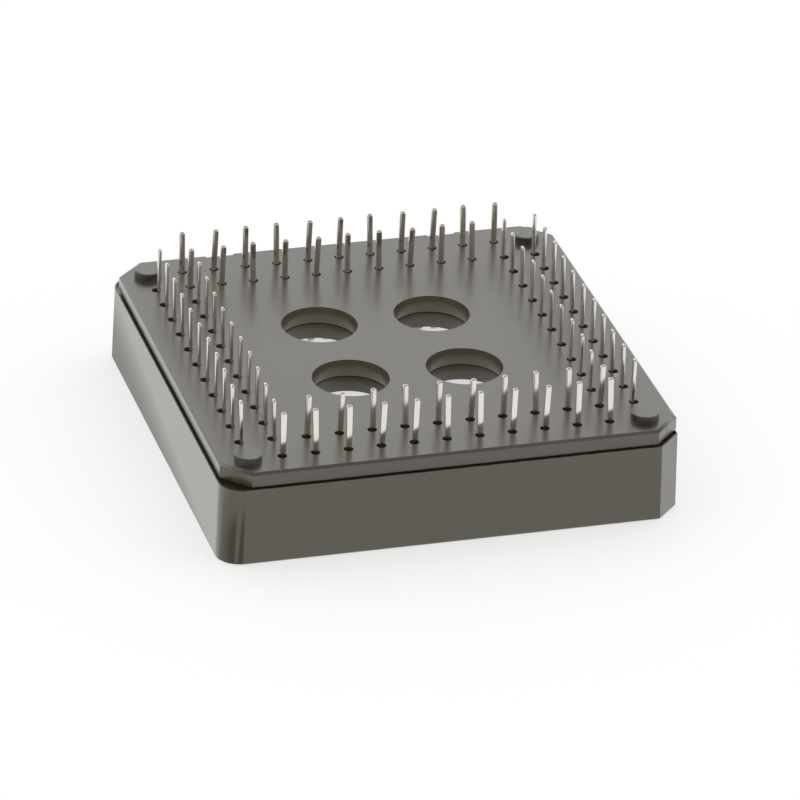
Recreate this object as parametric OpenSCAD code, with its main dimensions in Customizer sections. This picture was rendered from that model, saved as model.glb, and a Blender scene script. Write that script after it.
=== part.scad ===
// Through-hole socket for a square leaded chip carrier, lying on its open rim with its tails up.
// The front is -Y. Z = 0 is the rim, and the origin is the middle of the rim.
// A moulded housing holds four rows of formed contacts, and a moulded base plate closes it
// over them. The two outer rows and the two inner rows of tails share one square grid.

/* [Contact rows] */
// Spacing of neighbouring contacts along a side
contact_pitch = 1.27; // [1.2:0.01:1.5]
// Contacts on each side, an odd number
side_count = 21; // [17:2:25]

/* [Contacts] */
// Thickness of the strip that the contacts are stamped from
strip_t = 0.25; // [0.2:0.01:0.35]
// Width of a tail and of the run under the base plate
tail_w = 0.45; // [0.35:0.01:0.55]
// Width of the spring in its slot
spring_w = 0.72; // [0.6:0.01:0.76]
// Length of the outer tails above the base plate
outer_tail_h = 3.6; // [2.5:0.1:5]
// Length of the inner tails above the base plate
inner_tail_h = 3.42; // [2.5:0.1:5]
// Length of the coined round point of a tail
tail_tip_h = 0.22; // [0.1:0.01:0.6]
// Farthest that handling has pushed a tail's point aside
tail_wander = 0.09; // [0:0.01:0.2]
// Centre radius of the spring's bend near the rim
bend_r = 0.5; // [0.35:0.01:0.5]
// Gap between the spring's bend and the rim
bend_recess = 0.8; // [0.5:0.05:1.5]
// How far a spring stands into the chip cavity
spring_reach = 0.6; // [0.3:0.05:0.9]
// Height of the contact point above the rim
contact_point_z = 2.95; // [2.4:0.05:3.2]
// Half the height of the crown that the contact point is pressed into
crown_half_h = 0.35; // [0.2:0.05:0.45]
// How far the crown falls back over that height
crown_fall = 0.12; // [0.05:0.01:0.2]
// Height of the spring's free end above the rim
spring_end_z = 4.2; // [3.9:0.05:4.4]

/* [Housing] */
// Height of the housing from the rim to its deck
housing_h = 6; // [5.8:0.1:8]
// Thickness of the floor over the chip cavity
floor_t = 1.25; // [1:0.05:1.4]
// Distance from the last contact of a row to the wall of the cavity
cavity_margin = 2.6; // [2.54:0.01:3]
// Depth of a contact slot into the side wall
slot_depth = 1.35; // [1.3:0.05:1.8]
// Width of a contact slot
slot_w = 0.87; // [0.8:0.01:0.95]
// Thickness of the side wall behind the slots, at the deck
wall_t = 1.2; // [0.8:0.05:2.5]
// How much farther out each side wall stands at the rim
draft = 0.12; // [0:0.02:0.6]
// Radius of the three rounded outer corners
corner_r = 1.8; // [0.6:0.1:2]
// Leg of the flat index corner
index_leg = 1.8; // [1:0.1:2.5]
// Leg of the flat index corner of the cavity
cavity_index_leg = 1.2; // [0.6:0.1:1.8]
// Leg of the lead-in along the cavity's edge at the rim
lead_in = 0.5; // [0.2:0.05:0.8]
// Leg of the broken outer edges of the housing
edge_break = 0.12; // [0.05:0.01:0.2]
// Width of the two tool pockets in the cavity's corners
pocket_w = 2; // [1.2:0.1:2.4]
// How far a tool pocket runs out from the cavity's corner
pocket_reach = 1.2; // [0.6:0.1:1.4]
// Height of the tool pockets above the rim
pocket_h = 3.6; // [2:0.1:3.8]

/* [Base plate] */
// Thickness of the base plate
plate_t = 1.45; // [1.2:0.05:2.5]
// How far the plate's edge stands in from the housing's deck edge
plate_inset = 0.25; // [0.1:0.05:0.5]
// Leg of the plate's flat corners
plate_corner_leg = 2; // [1:0.1:2.5]
// Leg of the broken top edge of the plate
plate_edge_break = 0.18; // [0.05:0.01:0.3]
// Height of the shadow gap between plate and housing
seam_h = 0.15; // [0.05:0.01:0.3]
// Depth of the shadow gap
seam_depth = 0.3; // [0.1:0.05:0.5]
// Gap between a tail's corners and its round hole, with the tail in the middle
tail_play = 0.1; // [0.09:0.01:0.2]
// How far the tails of a side lean against their holes along the row
tail_off_along = 0.07; // [0:0.01:0.07]
// How far they lean against their holes towards the middle
tail_off_in = 0.04; // [0:0.01:0.04]
// Diameter of the four stand-off feet
foot_d = 2.1; // [1.5:0.1:2.6]
// Height of the stand-off feet
foot_h = 0.57; // [0.3:0.01:1.5]
// Distance from a foot's centre to the plate's edges
foot_edge = 2.2; // [2:0.05:2.3]
// Diameter of the pegs that seat the plate in the housing
peg_d = 1.8; // [1.2:0.1:2]
// Length of the pegs
peg_h = 0.9; // [0.4:0.05:0.95]
// Width of the two notches in the plate's back edge
notch_w = 2.25; // [1:0.05:3]
// Depth of the notches
notch_depth = 0.38; // [0.2:0.01:0.5]
// Distance of the notches from the middle of the back edge
notch_x = 9.05; // [6:0.05:11]

/* [Floor holes] */
// Diameter of the four holes through plate and floor
floor_hole_d = 5.92; // [4:0.02:7]
// Distance of each hole from the middle, along both axes
floor_hole_pos = 4.5; // [3.6:0.05:6]

/* [Hidden] */
// Clearance around the run of a contact in its groove, and round its neck in the floor
run_gap = 0.04;
// Clearance between a peg and its socket, across and at the end
peg_gap = 0.03;
// Overlap of a cut past the face that it opens
past = 0.1;
// Height of the slices that the housing's drafted blank is drawn between
slice_h = 0.001;

SIDES = ["front", "right", "back", "left"];
row_half = (side_count - 1) / 2 * contact_pitch;
inner_row = row_half;
outer_row = row_half + 2 * contact_pitch;
cavity_half = row_half + cavity_margin;
slot_far = cavity_half + slot_depth;
deck_half = slot_far + wall_t;
rim_half = deck_half + draft;
floor_z = housing_h - floor_t;
plate_half = deck_half - plate_inset;
plate_z = housing_h + plate_t;
foot_pos = plate_half - foot_edge;
leg_line = slot_far - strip_t / 2;
tail_hole_d = norm([tail_w, strip_t]) + 2 * tail_play;

// Nodes: the two mouldings, and the contacts in neighbouring pairs of one outer and one inner
pair_count = (side_count + 1) / 2;
function two_digits(i) = i < 10 ? str("0", i) : str(i);
function contact_node(side, pair) = str("contacts_", SIDES[side], "_", two_digits(pair + 1));

// Places of contact k of a side, with the side at the front
function is_inner(k) = k % 2 == 1;
function slot_x(k) = k * contact_pitch - row_half;
function tail_x(k) = slot_x(k) + (is_inner(k) ? contact_pitch : 0);
function tail_row(k) = is_inner(k) ? inner_row : outer_row;

// A deterministic wander of each tail's point, different for every contact
function wander(side, k, seed) = tail_wander * sin(139 * k + 83 * side * (k + 1) + seed);

// Plane vectors, and the corner normal of a strip at point i of its centre line
function direction(a) = [cos(a), sin(a)];
function unit(v) = v / norm(v);
function left_of(v) = [-v[1], v[0]];
function corner_normal(path, i) =
    let (
        into = unit(path[max(i, 1)] - path[max(i, 1) - 1]),
        out = unit(path[min(i, len(path) - 2) + 1] - path[min(i, len(path) - 2)]),
        middle = unit(left_of(into) + left_of(out))
    )
    middle / (middle * left_of(into));

// Closed outline of a strip of thickness t along a centre line
function strip_outline(path, t) = concat(
    [for (i = [0:len(path) - 1]) path[i] + corner_normal(path, i) * t / 2],
    [for (i = [len(path) - 1:-1:0]) path[i] - corner_normal(path, i) * t / 2]
);

// Centre line of a spring, as distance from the middle and height: down the back of the slot,
// round the bend by the rim, up to the contact point and back to the free end
bend_z = bend_recess + strip_t / 2 + bend_r;
point_line = cavity_half - spring_reach + strip_t / 2;
spring_path = concat(
    [[leg_line, floor_z]],
    [for (a = [0:-45:-180]) [leg_line - bend_r + bend_r * cos(a), bend_z + bend_r * sin(a)]],
    [
        [point_line + crown_fall / 2, contact_point_z - crown_half_h],
        [point_line, contact_point_z],
        [point_line + crown_fall, contact_point_z + crown_half_h],
        [leg_line - 2 * bend_r, spring_end_z]
    ]
);

// Centre line of a run in plan, from the neck to the tail
function run_path(k) = is_inner(k)
    ? [
        [slot_x(k), -slot_far],
        [slot_x(k), -inner_row - contact_pitch - tail_w / 2],
        [tail_x(k), -inner_row - tail_w / 2],
        [tail_x(k), -inner_row + strip_t / 2]
    ]
    : [[slot_x(k), -slot_far], [slot_x(k), -outer_row + strip_t / 2]];

// A profile drawn as distance from the middle and height, made w wide along a side
module across(w) rotate([90, 0, -90]) linear_extrude(w, center = true) children();

// Side view of a tail: straight through the plate, then aside by shift to its round point
module tail_view(w, top, shift) polygon(concat(
    [[-w / 2, plate_z], [-w / 2, housing_h - strip_t]],
    [[w / 2, housing_h - strip_t], [w / 2, plate_z]],
    [for (a = [0:30:180]) [shift + w / 2 * cos(a), top - tail_tip_h + tail_tip_h * sin(a)]]
));

module tail(side, k) {
    top = plate_z + (is_inner(k) ? inner_tail_h : outer_tail_h);
    translate([tail_x(k), -tail_row(k), 0]) intersection() {
        rotate([90, 0, 0]) linear_extrude(tail_w * 2, center = true)
            tail_view(tail_w, top, wander(side, k, 0));
        rotate([90, 0, 90]) linear_extrude(tail_w * 2, center = true)
            tail_view(strip_t, top, wander(side, k, 200));
    }
}

module contact(side, k) {
    translate([slot_x(k), 0, 0]) {
        across(spring_w) polygon(strip_outline(spring_path, strip_t));
        across(tail_w) translate([slot_far - strip_t, floor_z - strip_t])
            square([strip_t, floor_t + strip_t]);
    }
    translate([0, 0, housing_h - strip_t]) linear_extrude(strip_t)
        polygon(strip_outline(run_path(k), tail_w));
    tail(side, k);
}

// One outer contact and the inner one beside it; a row's last outer contact stands alone
module contacts(side, pair) {
    color([0.78, 0.78, 0.75]) rotate(90 * side)
        for (k = [2 * pair:min(2 * pair + 1, side_count - 1)]) contact(side, k);
}

// Square outline with three rounded corners and the flat index corner at the front right
function body_outline(half, r) = concat(
    [[half - index_leg, -half], [half, -half + index_leg]],
    [for (q = [0:2], a = [0:10:90])
        (half - r) * sqrt(2) * direction(90 * q + 45) + r * direction(90 * q + a)]
);

// Square outline with four flat corners
function flat_cornered(half, leg) = [
    for (q = [0:3])
    for (p = [[half, -half + leg], [half, half - leg]])
        [p[0] * cos(90 * q) - p[1] * sin(90 * q), p[0] * sin(90 * q) + p[1] * cos(90 * q)]
];

module body_slice(z, half) translate([0, 0, z]) linear_extrude(slice_h)
    polygon(body_outline(half, corner_r));

module housing_blank() hull() {
    body_slice(0, rim_half - edge_break);
    body_slice(edge_break, rim_half);
    body_slice(housing_h - edge_break, deck_half);
    body_slice(housing_h - slice_h, deck_half - edge_break);
}

module at_each_corner(pos) for (sx = [-1, 1], sy = [-1, 1]) translate([sx * pos, sy * pos, 0])
    children();

// The chip's space, with its own index corner
module cavity() {
    h = cavity_half;
    translate([0, 0, -past]) linear_extrude(floor_z + past) polygon([
        [-h, -h], [h - cavity_index_leg, -h], [h, -h + cavity_index_leg], [h, h], [-h, h]
    ]);
}

// Tool pockets at the two corners beside the index corner
module tool_pockets() for (a = [45, 225]) rotate(a)
    translate([0, -pocket_w / 2, -past])
        cube([cavity_half * sqrt(2) + pocket_reach, pocket_w, pocket_h + past]);

module side_cuts() {
    across(2 * cavity_half) polygon([
        [cavity_half - past, -past], [cavity_half + lead_in + past, -past],
        [cavity_half - past, lead_in + past]
    ]);
    for (k = [0:side_count - 1]) {
        translate([slot_x(k) - slot_w / 2, -slot_far, -past])
            cube([slot_w, slot_depth + past, floor_z + past]);
        translate([slot_x(k) - tail_w / 2 - run_gap, -slot_far, floor_z - past])
            cube([tail_w + 2 * run_gap, strip_t + run_gap, floor_t + 2 * past]);
        translate([0, 0, housing_h - strip_t]) linear_extrude(strip_t + past)
            polygon(strip_outline(run_path(k), tail_w + 2 * run_gap));
    }
}

module housing() color([0.27, 0.26, 0.23]) difference() {
    housing_blank();
    cavity();
    tool_pockets();
    for (side = [0:3]) rotate(90 * side) side_cuts();
    at_each_corner(floor_hole_pos) translate([0, 0, floor_z - past])
        cylinder(d = floor_hole_d, h = floor_t + 2 * past, $fn = 64);
    at_each_corner(foot_pos) translate([0, 0, housing_h - peg_h - peg_gap])
        cylinder(d = peg_d + 2 * peg_gap, h = peg_h + peg_gap + past, $fn = 32);
}

module plate_blank() {
    translate([0, 0, housing_h]) linear_extrude(seam_h)
        polygon(flat_cornered(plate_half - seam_depth, plate_corner_leg));
    hull() {
        translate([0, 0, housing_h + seam_h]) linear_extrude(plate_t - seam_h - plate_edge_break)
            polygon(flat_cornered(plate_half, plate_corner_leg));
        translate([0, 0, housing_h + seam_h]) linear_extrude(plate_t - seam_h)
            polygon(flat_cornered(plate_half - plate_edge_break, plate_corner_leg));
    }
}

module foot() {
    cylinder(d = foot_d, h = foot_h - plate_edge_break / 2, $fn = 48);
    cylinder(d = foot_d - plate_edge_break, h = foot_h, $fn = 48);
}

// The tails of every side stand off the middle of their holes in the same way round
module tail_holes() for (side = [0:3]) rotate(90 * side)
    translate([-tail_off_along, -tail_off_in, housing_h - past])
        for (k = [0:side_count - 1]) translate([tail_x(k), -tail_row(k), 0])
            cylinder(d = tail_hole_d, h = plate_t + 2 * past, $fn = 24);

module base_plate() color([0.3, 0.29, 0.26]) difference() {
    union() {
        plate_blank();
        at_each_corner(foot_pos) {
            translate([0, 0, plate_z]) foot();
            translate([0, 0, housing_h - peg_h]) cylinder(d = peg_d, h = peg_h + past, $fn = 32);
        }
    }
    tail_holes();
    at_each_corner(floor_hole_pos) {
        translate([0, 0, housing_h - past])
            cylinder(d = floor_hole_d, h = plate_t + 2 * past, $fn = 64);
        translate([0, 0, housing_h - past])
            cylinder(d = floor_hole_d + seam_depth, h = seam_h + past, $fn = 64);
    }
    for (s = [-1, 1]) translate([s * notch_x - notch_w / 2, plate_half - notch_depth, housing_h - past])
        cube([notch_w, notch_depth + past, plate_t + 2 * past]);
}

housing();
base_plate();
for (side = [0:3], pair = [0:pair_count - 1])
    contacts(side, pair);
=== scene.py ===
import math

import bmesh
import bpy
from mathutils import Matrix, Vector, noise


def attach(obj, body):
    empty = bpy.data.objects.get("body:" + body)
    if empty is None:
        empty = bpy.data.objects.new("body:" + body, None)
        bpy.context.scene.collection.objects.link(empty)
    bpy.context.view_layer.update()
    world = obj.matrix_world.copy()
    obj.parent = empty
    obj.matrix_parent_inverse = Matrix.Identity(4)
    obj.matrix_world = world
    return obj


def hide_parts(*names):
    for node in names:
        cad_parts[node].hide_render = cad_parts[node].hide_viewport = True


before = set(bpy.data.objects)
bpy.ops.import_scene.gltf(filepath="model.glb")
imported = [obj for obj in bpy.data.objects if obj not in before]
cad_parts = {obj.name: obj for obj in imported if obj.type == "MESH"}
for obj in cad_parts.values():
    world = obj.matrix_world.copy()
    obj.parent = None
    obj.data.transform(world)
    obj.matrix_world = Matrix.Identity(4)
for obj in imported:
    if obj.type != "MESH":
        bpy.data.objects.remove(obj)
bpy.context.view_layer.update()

mm = 0.001
print("frame loaded:", len(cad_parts), "nodes")


class Wire:                              # a socket that sums and products can be written with
    def __init__(self, socket):
        self.socket = socket

    def maths(self, operation, first, second):
        return Tree(self.socket.id_data).maths(operation, first, second)

    def __add__(self, other): return self.maths("ADD", self, other)
    def __radd__(self, other): return self.maths("ADD", other, self)
    def __sub__(self, other): return self.maths("SUBTRACT", self, other)
    def __mul__(self, other): return self.maths("MULTIPLY", self, other)
    def __rmul__(self, other): return self.maths("MULTIPLY", other, self)


class Tree:                              # one node tree, and the only way nodes get into it
    def __init__(self, tree):
        self.tree = tree

    def node(self, kind, settings={}, sockets={}, out=0):
        made = self.tree.nodes.new(kind)
        for name, value in settings.items():
            if name == "stops":
                ramp = made.color_ramp.elements
                while len(ramp) < len(value):
                    ramp.new(0.5)
                for element, (place, colour) in zip(ramp, value):
                    element.position, element.color = place, (*colour, 1)
            else:
                setattr(made, name, value)
        for name, value in sockets.items():
            target = made.inputs[name]
            if isinstance(value, Wire):
                self.tree.links.new(value.socket, target)
            else:
                target.default_value = value
        return Wire(made.outputs[out]) if len(made.outputs) else None

    def maths(self, operation, *values):
        return self.node("ShaderNodeMath", {"operation": operation}, dict(enumerate(values)))

    def part(self, vector, way):         # the X, Y or Z of a vector
        return self.node("ShaderNodeSeparateXYZ", {}, {0: vector}, out=way)

    def blend(self, share, first, second):
        first, second = (colour if isinstance(colour, Wire) else (*colour, 1) for colour in (first, second))
        return self.node("ShaderNodeMix", {"data_type": "RGBA"}, {0: share, 6: first, 7: second}, out=2)


def newMaterial(name):
    material = bpy.data.materials.new(name)
    material.use_nodes = True
    material.node_tree.nodes.clear()
    return material, Tree(material.node_tree)


def plastic(name, look):                 # satin outside, duller on the walls of the holes and of the feet; painted light makes the walls of the holes lighter, painted shade makes the feet's sides dark, and a painted band runs along the top of the outer walls
    material, shade = newMaterial(name)
    place = shade.node("ShaderNodeTexCoord", out="Object")
    cloud, grain, ragged = (
        shade.node("ShaderNodeTexNoise", {}, {"Vector": place, "Scale": look[kind + "Scale"], "Detail": detail})
        for kind, detail in (("cloud", 3.0), ("grain", 4.0), ("ragged", 2.0)))
    height = shade.part(place, "Z")
    facing = shade.node("ShaderNodeNewGeometry", out="Normal")
    wall = shade.maths("LESS_THAN", shade.maths("ABSOLUTE", shade.part(facing, "Z")), look["wallTilt"])
    far = shade.maths("MAXIMUM", *(shade.maths("ABSOLUTE", shade.part(place, way)) for way in "XY"))
    inner = wall * shade.maths("LESS_THAN", far, look["innerReach"])
    paintedFootShade = inner * shade.maths("GREATER_THAN", height, look["footFrom"])
    # painted band along the top of the outer walls: a painted highlight on the housing, a painted shade on the
    # plate; its ragged edge is also bumped
    rim = shade.node("ShaderNodeMapRange", {}, {
        "Value": height + (ragged - 0.5) * look["raggedReach"],
        "From Min": look["rimFrom"], "From Max": look["rimTo"]})
    colour = shade.blend(cloud, look["dark"], look["light"])
    colour = shade.blend(rim * wall * look["rimStrength"], colour, look["rim"])
    # painted light: the walls of the holes and of the cavity are made lighter and warmer
    colour = shade.blend(inner, colour, look["inner"])
    # painted shade: the feet's sides are made dark
    colour = shade.blend(paintedFootShade, colour, look["paintedFootShade"])
    bump = shade.node("ShaderNodeBump", {}, {
        "Height": grain + rim * ragged * wall * look["rimBump"],
        "Strength": look["grainStrength"], "Distance": look["grainDepth"]})
    surface = shade.node("ShaderNodeBsdfPrincipled", {}, {
        "Base Color": colour, "Roughness": look["roughness"] + look["roughnessCloud"] * (cloud - 0.5),
        "Normal": bump, "IOR": look["ior"], "Coat Weight": inner * -look["innerMatt"] + look["coat"],
        "Coat Roughness": look["coatRoughness"], "Coat IOR": look["ior"]})
    shade.node("ShaderNodeOutputMaterial", {}, {"Surface": surface})
    return material


housingLook = {
    "dark": (0.044, 0.038, 0.013), "light": (0.052, 0.046, 0.019), "cloudScale": 220.0,
    "grainScale": 9000.0, "grainStrength": 0.25, "grainDepth": 0.02 * mm,
    "roughness": 0.36, "roughnessCloud": 0.06, "ior": 1.5, "coat": 1.0, "coatRoughness": 0.24,
    # painted highlight: the rim colour makes the top of the lip's walls lighter in a ragged band
    "rim": (0.09, 0.085, 0.07), "rimFrom": 6.12 * mm, "rimTo": 6.16 * mm, "rimStrength": 0.7, "rimBump": 1.0,
    "raggedScale": 5000.0, "raggedReach": 0.1 * mm,
    # painted light: the inner colour makes the walls of the holes and of the cavity lighter and warmer; they
    # also have less coat
    "wallTilt": 0.5, "inner": (0.088, 0.077, 0.044), "innerReach": 16.8 * mm, "innerMatt": 0.7,
    # painted shade: the feet's sides are made dark
    "footFrom": 7.47 * mm, "paintedFootShade": (0.012, 0.011, 0.008),
}
plateLook = {
    **housingLook, "dark": (0.056, 0.046, 0.028), "light": (0.066, 0.054, 0.034), "roughness": 0.33,
    # painted shade: the rim colour makes a dark line along the top of the plate's outer sides
    "rim": (0.03, 0.026, 0.018), "rimFrom": 7.2 * mm, "rimTo": 7.26 * mm, "rimBump": 6.0,
    "raggedReach": 0.3 * mm,
}
tinLook = {
    "light": (0.82, 0.80, 0.75), "dark": (0.64, 0.62, 0.56), "roughness": 0.15, "roughnessLines": 0.08,
    "lineScale": (9000.0, 9000.0, 350.0), "lineStrength": 0.12, "lineDepth": 0.01 * mm,
}


def tin(name, look):
    material, shade = newMaterial(name)
    place = shade.node("ShaderNodeTexCoord", out="Object")
    drawn = shade.node("ShaderNodeMapping", {}, {"Vector": place, "Scale": look["lineScale"]})
    lines = shade.node("ShaderNodeTexNoise", {}, {"Vector": drawn, "Scale": 1.0, "Detail": 3.0})
    bump = shade.node("ShaderNodeBump", {}, {
        "Height": lines, "Strength": look["lineStrength"], "Distance": look["lineDepth"]})
    surface = shade.node("ShaderNodeBsdfPrincipled", {}, {
        "Base Color": shade.blend(lines, look["dark"], look["light"]), "Metallic": 1.0,
        "Roughness": look["roughness"] + look["roughnessLines"] * (lines - 0.5), "Normal": bump})
    shade.node("ShaderNodeOutputMaterial", {}, {"Surface": surface})
    return material


housingFinish = plastic("housingPlastic", housingLook)
plateFinish = plastic("platePlastic", plateLook)
tinFinish = tin("tinContact", tinLook)
for name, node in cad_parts.items():
    finish = {"housing": housingFinish, "base_plate": plateFinish}.get(name, tinFinish)
    for slot in node.material_slots:
        slot.material = finish

# A contact's centre line, in mm in the frame of the front side. Each point has the radius it is bent to,
# its share of the spring's full width and the scale of the section, which closes the point of the tail.
contactSizes = {
    "pitch": 1.27, "count": 21, "innerRow": 12.7, "outerRow": 15.24,
    "strip": 0.25, "tailWidth": 0.45, "springWidth": 0.72, "edgeRadius": 0.06,
    "deckHeight": 6.0, "floorHeight": 4.75, "plateHeight": 7.45,
    "outerTail": 3.6, "innerTail": 3.42, "tipHeight": 0.22, "tailBend": 0.3,
    "wander": 0.09, "wanderTurns": (139, 83), "wanderSeeds": (0, 200),
    "spring": ((15.525, 4.2), (14.945, 3.3), (14.825, 2.95), (14.885, 2.6), (15.525, 1.425)),
    "springBend": 0.08, "legLine": 16.525, "bendFoot": 0.925, "bendRadius": 0.5, "neckStep": 0.02,
    "cornerRadius": 0.2, "stepRadius": 0.05, "tipAngles": (0, 25, 45, 62, 78),
    "bendSteps": 6, "edgeSteps": 5, "steepFrom": 0.2,
}


def contactLine(side, k, sizes):
    inner = k % 2 == 1
    slotX = k * sizes["pitch"] - (sizes["count"] - 1) / 2 * sizes["pitch"]
    tailX = slotX + (sizes["pitch"] if inner else 0)
    row = sizes["innerRow"] if inner else sizes["outerRow"]
    top = sizes["plateHeight"] + (sizes["innerTail"] if inner else sizes["outerTail"])
    narrow = sizes["tailWidth"] / sizes["springWidth"]
    leg, foot, runHeight = sizes["legLine"], sizes["bendFoot"], sizes["deckHeight"] - sizes["strip"] / 2
    line = [(slotX, -out, height, sizes["springBend"], 1, 1) for out, height in sizes["spring"]]
    line += [(slotX, -(leg - 2 * sizes["bendRadius"]), foot, sizes["bendRadius"], 1, 1),
             (slotX, -leg, foot, sizes["bendRadius"], 1, 1),
             (slotX, -leg, sizes["floorHeight"] - sizes["neckStep"], 0, 1, 1),
             (slotX, -leg, sizes["floorHeight"], 0, narrow, 1),
             (slotX, -leg, runHeight, sizes["cornerRadius"], narrow, 1)]
    if inner:
        half = sizes["tailWidth"] / 2
        line += [(slotX, -row - sizes["pitch"] - half, runHeight, sizes["stepRadius"], narrow, 1),
                 (tailX, -row - half, runHeight, sizes["stepRadius"], narrow, 1)]
    line += [(tailX, -row, runHeight, sizes["cornerRadius"], narrow, 1),
             (tailX, -row, sizes["plateHeight"], sizes["tailBend"], narrow, 1)]
    turnByPlace, turnBySide = sizes["wanderTurns"]
    leanX, leanY = (
        sizes["wander"] * math.sin(math.radians(turnByPlace * k + turnBySide * side * (k + 1) + seed))
        for seed in sizes["wanderSeeds"])
    for angle in sizes["tipAngles"]:
        height = top - sizes["tipHeight"] * (1 - math.sin(math.radians(angle)))
        line.append((tailX + leanX, -row + leanY, height, 0, narrow, math.cos(math.radians(angle))))
    return line


def layLines(name, lines):               # the centre lines as one mesh of edges that carries its numbers
    points = [point for line in lines for point in line]
    edges, start = [], 0
    for line in lines:
        edges += [(start + i, start + i + 1) for i in range(len(line) - 1)]
        start += len(line)
    mesh = bpy.data.meshes.new(name)
    mesh.from_pydata([Vector(point[:3]) * mm for point in points], edges, [])
    for label, column, unit in (("bend", 3, mm), ("width", 4, 1), ("closing", 5, 1)):
        layer = mesh.attributes.new(label, "FLOAT", "POINT")
        layer.data.foreach_set("value", [point[column] * unit for point in points])
    return mesh


def formedStrip(sizes):                  # bends a flat strip with rounded edges along the lines
    group = bpy.data.node_groups.new("formedStrip", "GeometryNodeTree")
    face = group.interface
    face.new_socket("Geometry", in_out="INPUT", socket_type="NodeSocketGeometry")
    for label in ("Width", "Thickness", "Edge radius", "Turn"):
        face.new_socket(label, in_out="INPUT", socket_type="NodeSocketFloat")
    face.new_socket("Material", in_out="INPUT", socket_type="NodeSocketMaterial")
    face.new_socket("Geometry", in_out="OUTPUT", socket_type="NodeSocketGeometry")
    tree = Tree(group)

    def given(label):
        return tree.node("NodeGroupInput", out=label)

    def stored(label, kind="FLOAT"):
        return tree.node("GeometryNodeInputNamedAttribute", {"data_type": kind}, {"Name": label})

    def marked(geometry, label, value):
        return tree.node("GeometryNodeStoreNamedAttribute", {"data_type": "FLOAT_VECTOR", "domain": "POINT"},
                         {"Geometry": geometry, "Name": label, "Value": value})

    def vector(operation, *values, out=0):
        return tree.node("ShaderNodeVectorMath", {"operation": operation}, dict(enumerate(values)), out)

    def scaled(value, amount):
        return tree.node("ShaderNodeVectorMath", {"operation": "SCALE"}, {0: value, "Scale": amount})

    def filleted(curve, radius, steps):
        return tree.node("GeometryNodeFilletCurve", {"mode": "POLY"}, {
            "Curve": curve, "Radius": radius, "Count": steps, "Limit Radius": True})

    line = tree.node("GeometryNodeMeshToCurve", {}, {0: given("Geometry")})
    bent = filleted(line, stored("bend"), sizes["bendSteps"])
    along = tree.node("GeometryNodeInputTangent")
    across = vector("CROSS_PRODUCT", (0, 0, 1), along)
    sign = tree.maths("SIGN", tree.part(across, "X"))
    steep = tree.maths("GREATER_THAN", tree.maths("ABSOLUTE", tree.part(along, "Z")), sizes["steepFrom"])
    level, upright = scaled(across, (steep - 1.0) * sign), scaled((-1, 0, 0), steep)
    sideways = vector("NORMALIZE", vector("ADD", level, upright))
    placed = marked(marked(bent, "sideways", sideways), "centre", tree.node("GeometryNodeInputPosition"))
    aimed = tree.node("GeometryNodeSetCurveNormal", {"mode": "FREE"},
                      {"Curve": placed, "Normal": stored("sideways", "FLOAT_VECTOR")})
    section = tree.node("GeometryNodeCurvePrimitiveQuadrilateral", {"mode": "RECTANGLE"},
                        {"Width": given("Width"), "Height": given("Thickness")})
    rounded = filleted(section, given("Edge radius"), sizes["edgeSteps"])
    strip = tree.node("GeometryNodeCurveToMesh", {}, {
        "Curve": aimed, "Profile Curve": rounded, "Scale": stored("closing"), "Fill Caps": True})
    way = stored("sideways", "FLOAT_VECTOR")
    apart = vector("SUBTRACT", tree.node("GeometryNodeInputPosition"), stored("centre", "FLOAT_VECTOR"))
    off = vector("DOT_PRODUCT", apart, way, out="Value")
    narrowed = tree.node("GeometryNodeSetPosition", {}, {
        "Geometry": strip, "Offset": scaled(way, off * (stored("width") - 1.0))})
    turn = tree.node("ShaderNodeCombineXYZ", {}, {"Z": given("Turn")})
    turned = tree.node("GeometryNodeTransform", {}, {"Geometry": narrowed, "Rotation": turn})
    smooth = tree.node("GeometryNodeSetShadeSmooth", {}, {"Geometry": turned})
    plain = tree.node("GeometryNodeRealizeInstances", {}, {"Geometry": smooth})
    finished = tree.node("GeometryNodeSetMaterial", {}, {"Geometry": plain, "Material": given("Material")})
    tree.node("NodeGroupOutput", {}, {"Geometry": finished})
    return group


def bakeNodes(name, mesh, group, values):
    seed = bpy.data.objects.new(name + "Line", mesh)
    bpy.context.scene.collection.objects.link(seed)
    modifier = seed.modifiers.new("nodes", "NODES")
    modifier.node_group = group
    for item in group.interface.items_tree:
        if item.in_out == "INPUT" and item.name in values:
            modifier[item.identifier] = values[item.name]
    bpy.context.view_layer.update()
    made = bpy.data.meshes.new_from_object(seed.evaluated_get(bpy.context.evaluated_depsgraph_get()))
    bpy.data.objects.remove(seed)
    made.name = name
    piece = bpy.data.objects.new(name, made)
    bpy.context.scene.collection.objects.link(piece)
    return piece


def makeContacts(sizes):
    group = formedStrip(sizes)
    for side, word in enumerate(("front", "right", "back", "left")):
        for pair in range((sizes["count"] + 1) // 2):
            node = f"contacts_{word}_{pair + 1:02d}"
            lines = [contactLine(side, k, sizes) for k in (2 * pair, 2 * pair + 1) if k < sizes["count"]]
            piece = bakeNodes("formed_" + node, layLines(node, lines), group, {
                "Width": sizes["springWidth"] * mm, "Thickness": sizes["strip"] * mm,
                "Edge radius": sizes["edgeRadius"] * mm, "Turn": math.pi / 2 * side, "Material": tinFinish})
            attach(piece, "root")
            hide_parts(node)
    print("contacts made")


makeContacts(contactSizes)

shellSettings = {"mergeWithin": 0.001, "flatWithin": 0.5, "sharpFrom": 32, "bevelSteps": 2, "areaWeight": 100}


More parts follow.
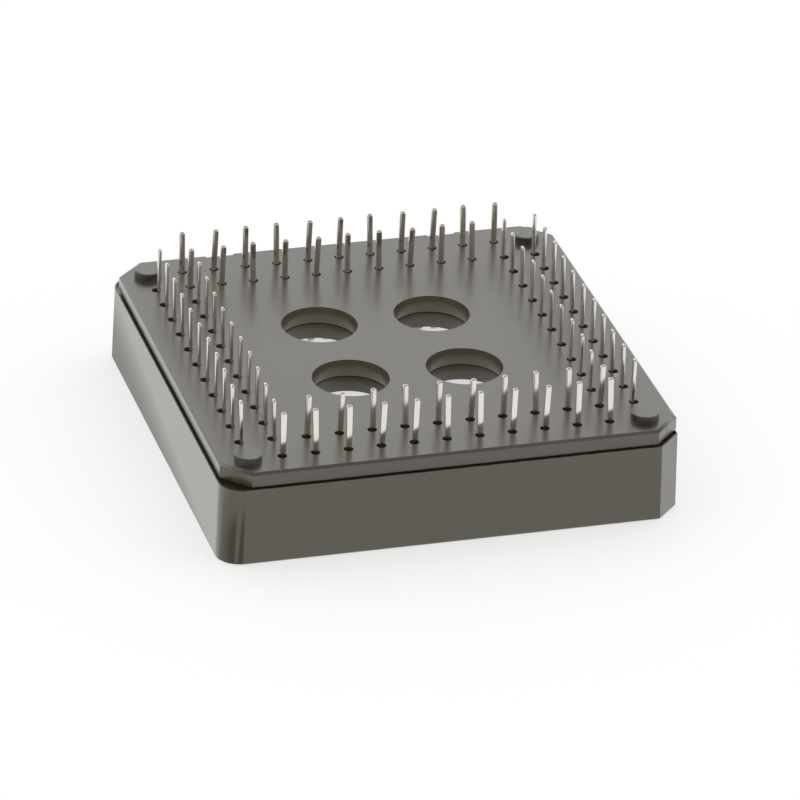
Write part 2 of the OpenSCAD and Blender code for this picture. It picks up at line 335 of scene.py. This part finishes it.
def mergedCopy(node, name, reshape):     # the moulding as one clean shell, with its points moved by reshape
    shell = bmesh.new()
    shell.from_mesh(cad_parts[node].data)
    bmesh.ops.remove_doubles(shell, verts=shell.verts, dist=shellSettings["mergeWithin"] * mm)
    bmesh.ops.dissolve_limit(shell, angle_limit=math.radians(shellSettings["flatWithin"]),
                             verts=shell.verts, edges=shell.edges)
    for point in shell.verts:
        point.co = Vector(reshape(*(point.co / mm))) * mm
    mesh = bpy.data.meshes.new(name)
    shell.to_mesh(mesh)
    shell.free()
    piece = bpy.data.objects.new(name, mesh)
    bpy.context.scene.collection.objects.link(piece)
    return piece


def softenEdges(piece, width):           # small bevels, with the flat faces between them kept flat
    bevel = piece.modifiers.new("soft edges", "BEVEL")
    bevel.width, bevel.segments, bevel.limit_method = width * mm, shellSettings["bevelSteps"], "ANGLE"
    bevel.angle_limit, bevel.use_clamp_overlap = math.radians(shellSettings["sharpFrom"]), True
    piece.data.shade_smooth()
    even = piece.modifiers.new("flat faces", "WEIGHTED_NORMAL")
    even.mode, even.weight, even.keep_sharp = "FACE_AREA", shellSettings["areaWeight"], True
    bpy.context.view_layer.update()
    made = bpy.data.meshes.new_from_object(piece.evaluated_get(bpy.context.evaluated_depsgraph_get()))
    piece.modifiers.clear()
    piece.data = made


plateSizes = {
    "topHeight": 7.45, "coreTop": 6.15, "overhangHeight": 6.29, "holeSeamHeight": 6.07, "within": 0.01,
    "outlineFrom": 17.0, "cornerFrom": 15.2, "farShift": 0.25, "edge": 0.035,
    "footPlace": 15.4, "footReach": 1.3, "footRagged": 0.05, "footNoise": 1.7,
    "footStep": (7.93, 8.02), "footSplit": 1.0, "footBevel": ((1.05, 7.96), (1.02, 7.99), (0.99, 8.02)),
    "tailHoleReach": 0.42, "tailHoleGrow": 1.03, "tailHoleNow": (-0.07, -0.04), "tailHoleShift": (0.0, -0.09),
}


def tailHoles(sizes, contacts):          # where the holes are, and which way each side's holes are shifted
    holes = []
    for side in range(4):
        turn = Matrix.Rotation(math.pi / 2 * side, 2)
        for k in range(contacts["count"]):
            inner = k % 2 == 1
            along = (k + inner) * contacts["pitch"] - (contacts["count"] - 1) / 2 * contacts["pitch"]
            row = contacts["innerRow"] if inner else contacts["outerRow"]
            middle = Vector((along, -row)) + Vector(sizes["tailHoleNow"])
            holes.append((turn @ middle, turn @ Vector(sizes["tailHoleShift"])))
    return holes


def makePlate(sizes, contacts):
    holes = tailHoles(sizes, contacts)

    def reshape(x, y, z):
        outline = max(abs(x), abs(y)) > sizes["outlineFrom"]
        if abs(z - sizes["coreTop"]) < sizes["within"]:
            z = sizes["overhangHeight"] if outline else sizes["holeSeamHeight"]
        if outline:
            x += sizes["farShift"] * (x > sizes["cornerFrom"])
            y += sizes["farShift"] * (y > sizes["cornerFrom"])
        away = Vector((abs(x) - sizes["footPlace"], abs(y) - sizes["footPlace"]))
        if z > sizes["topHeight"] - sizes["within"] and away.length < sizes["footReach"]:
            spot = Vector((x * sizes["footNoise"], y * sizes["footNoise"], z))
            grow = 1 + sizes["footRagged"] * noise.noise(spot)
            low, high = sizes["footStep"]
            if z > low - sizes["within"]:            # the stepped top becomes one broken edge
                ring = 2 if z > high - sizes["within"] else 0 if away.length > sizes["footSplit"] else 1
                radius, z = sizes["footBevel"][ring]
                grow *= radius / away.length
            x = math.copysign(sizes["footPlace"] + away.x * grow, x)
            y = math.copysign(sizes["footPlace"] + away.y * grow, y)
        for middle, shift in holes:
            off = Vector((x, y)) - middle
            if off.length < sizes["tailHoleReach"]:
                x, y = middle + shift + off * sizes["tailHoleGrow"]
                break
        return x, y, z

    piece = mergedCopy("base_plate", "moulded_base_plate", reshape)
    softenEdges(piece, sizes["edge"])
    piece.data.materials.clear()
    piece.data.materials.append(plateFinish)
    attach(piece, "root")
    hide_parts("base_plate")
    print("base plate made:", len(piece.data.polygons), "faces")


housingSizes = {
    "half": 17.85, "cornerRadius": 1.8, "arcSteps": 9, "indexLeg": 1.8, "edge": 0.03,
    "lipWidth": 0.12, "lipFrom": 5.86, "lipTop": 6.2, "lipSoft": 0.03,
    "lipStep": 0.5, "lipRagged": 0.024, "lipNoise": 2.1,
}


def bodyOutline(sizes):                  # anticlockwise from the flat index corner, in short steps
    half, radius, leg = sizes["half"], sizes["cornerRadius"], sizes["indexLeg"]
    corners = [Vector((half - leg, -half)), Vector((half, -half + leg))]
    for quarter in range(3):
        middle = Matrix.Rotation(math.pi / 2 * quarter, 2) @ Vector((half - radius, half - radius))
        for i in range(sizes["arcSteps"] + 1):
            angle = math.radians(90 * quarter + 90 / sizes["arcSteps"] * i)
            corners.append(middle + radius * Vector((math.cos(angle), math.sin(angle))))
    outline = []
    for here, there in zip(corners, corners[1:] + corners[:1]):
        parts = max(1, round((there - here).length / sizes["lipStep"]))
        outline += [here.lerp(there, i / parts) for i in range(parts)]
    return outline


def addLip(mesh, sizes):                 # the thin lip round the deck, a little uneven along its top
    shell = bmesh.new()
    shell.from_mesh(mesh)
    outer = bodyOutline(sizes)
    top, edgeTop = sizes["lipTop"], sizes["lipTop"] - sizes["lipSoft"]
    shrink = 1 - sizes["lipWidth"] / sizes["half"]
    soft = sizes["lipWidth"] / sizes["half"] / 4
    section = ((1, sizes["lipFrom"]), (1, edgeTop), (1 - soft, top),
               (shrink + soft, top), (shrink, edgeTop), (shrink, sizes["lipFrom"]))
    rings = []
    for scale, height in section:
        ring = []
        for point in outer:
            wave = noise.noise(Vector((point.x, point.y, height)) * sizes["lipNoise"])
            lift = sizes["lipRagged"] * wave if height > sizes["lipFrom"] else 0
            ring.append(shell.verts.new(Vector((point.x * scale, point.y * scale, height + lift)) * mm))
        rings.append(ring)
    for lower, upper in zip(rings, rings[1:] + rings[:1]):
        for i in range(len(outer)):
            j = (i + 1) % len(outer)
            shell.faces.new((lower[i], lower[j], upper[j], upper[i]))
    shell.to_mesh(mesh)
    shell.free()


def makeHousing(sizes):
    piece = mergedCopy("housing", "moulded_housing", lambda x, y, z: (x, y, z))
    softenEdges(piece, sizes["edge"])
    addLip(piece.data, sizes)
    piece.data.materials.clear()
    piece.data.materials.append(housingFinish)
    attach(piece, "root")
    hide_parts("housing")
    print("housing made:", len(piece.data.polygons), "faces")


makePlate(plateSizes, contactSizes)
makeHousing(housingSizes)

stageLook = {
    "floorSize": 4.0, "floorShade": 0.97, "glow": 0.5, "glowInGloss": 0.45, "glowStrength": 1.04,
    "glowSeen": 0.2, "darkSide": (-0.2, -0.72, 0.66),
    "sky": ((0.5, (1.12, 1.12, 1.12)), (0.75, (0.95, 0.95, 0.95)), (0.92, (0.4, 0.39, 0.38))),
}


def makeFloor(look):
    half = look["floorSize"] / 2
    mesh = bpy.data.meshes.new("floor")
    corners = [(-half, -half, 0), (half, -half, 0), (half, half, 0), (-half, half, 0)]
    mesh.from_pydata(corners, [], [(0, 1, 2, 3)])
    floor = bpy.data.objects.new("floor", mesh)
    bpy.context.scene.collection.objects.link(floor)
    material, shade = newMaterial("floorWhite")
    share = shade.node("ShaderNodeLightPath", out="Is Glossy Ray") * look["glowInGloss"] + look["glow"]
    strength = shade.node("ShaderNodeLightPath", out="Is Camera Ray") * look["glowSeen"] + look["glowStrength"]
    body = shade.node("ShaderNodeBsdfDiffuse", {}, {"Color": (look["floorShade"],) * 3 + (1,)})
    glow = shade.node("ShaderNodeEmission", {}, {"Strength": strength})
    both = shade.node("ShaderNodeMixShader", {}, {0: share, 1: body, 2: glow})
    shade.node("ShaderNodeOutputMaterial", {}, {"Surface": both})
    mesh.materials.append(material)


def makeSky(look):                       # a white room, with its darker side where one stands to look
    world = bpy.data.worlds.new("studio")
    bpy.context.scene.world = world
    world.use_nodes = True
    world.node_tree.nodes.clear()
    shade = Tree(world.node_tree)
    direction = shade.node("ShaderNodeTexCoord", out="Generated")
    facing = shade.node("ShaderNodeVectorMath", {"operation": "DOT_PRODUCT"},
                        {0: direction, 1: look["darkSide"]}, out="Value")
    room = shade.node("ShaderNodeValToRGB", {"stops": look["sky"]}, {0: facing * 0.5 + 0.5})
    colour = shade.blend(shade.node("ShaderNodeLightPath", out="Is Camera Ray"), room, (1, 1, 1))
    light = shade.node("ShaderNodeBackground", {}, {"Color": colour})
    shade.node("ShaderNodeOutputWorld", {}, {"Surface": light})


makeFloor(stageLook)
makeSky(stageLook)

cameraSettings = {
    "azimuth": -16.964, "elevation": 27.907, "roll": 2.205,
    "distance": 461.06 * mm, "lens": 275.7, "sensor": 36.0, "clip": (0.01, 20),
    "target": (-1.831 * mm, -8.754 * mm, 7.45 * mm),
}


def placeCamera(look):
    azimuth, elevation, roll = (math.radians(look[angle]) for angle in ("azimuth", "elevation", "roll"))
    level = math.cos(elevation)
    back = Vector((math.sin(azimuth) * level, -math.cos(azimuth) * level, math.sin(elevation)))
    right = (-back).cross(Vector((0, 0, 1))).normalized()
    up = right.cross(-back)
    tiltedRight = math.cos(roll) * right + math.sin(roll) * up
    tiltedUp = -math.sin(roll) * right + math.cos(roll) * up
    data = bpy.data.cameras.new("camera")
    data.lens, data.sensor_width = look["lens"], look["sensor"]
    data.clip_start, data.clip_end = look["clip"]
    camera = bpy.data.objects.new("camera", data)
    bpy.context.scene.collection.objects.link(camera)
    turn = Matrix((tiltedRight, tiltedUp, back)).transposed().to_4x4()
    camera.matrix_world = Matrix.Translation(Vector(look["target"]) + back * look["distance"]) @ turn
    bpy.context.scene.camera = camera


placeCamera(cameraSettings)
bpy.context.scene.view_settings.view_transform = "Standard"
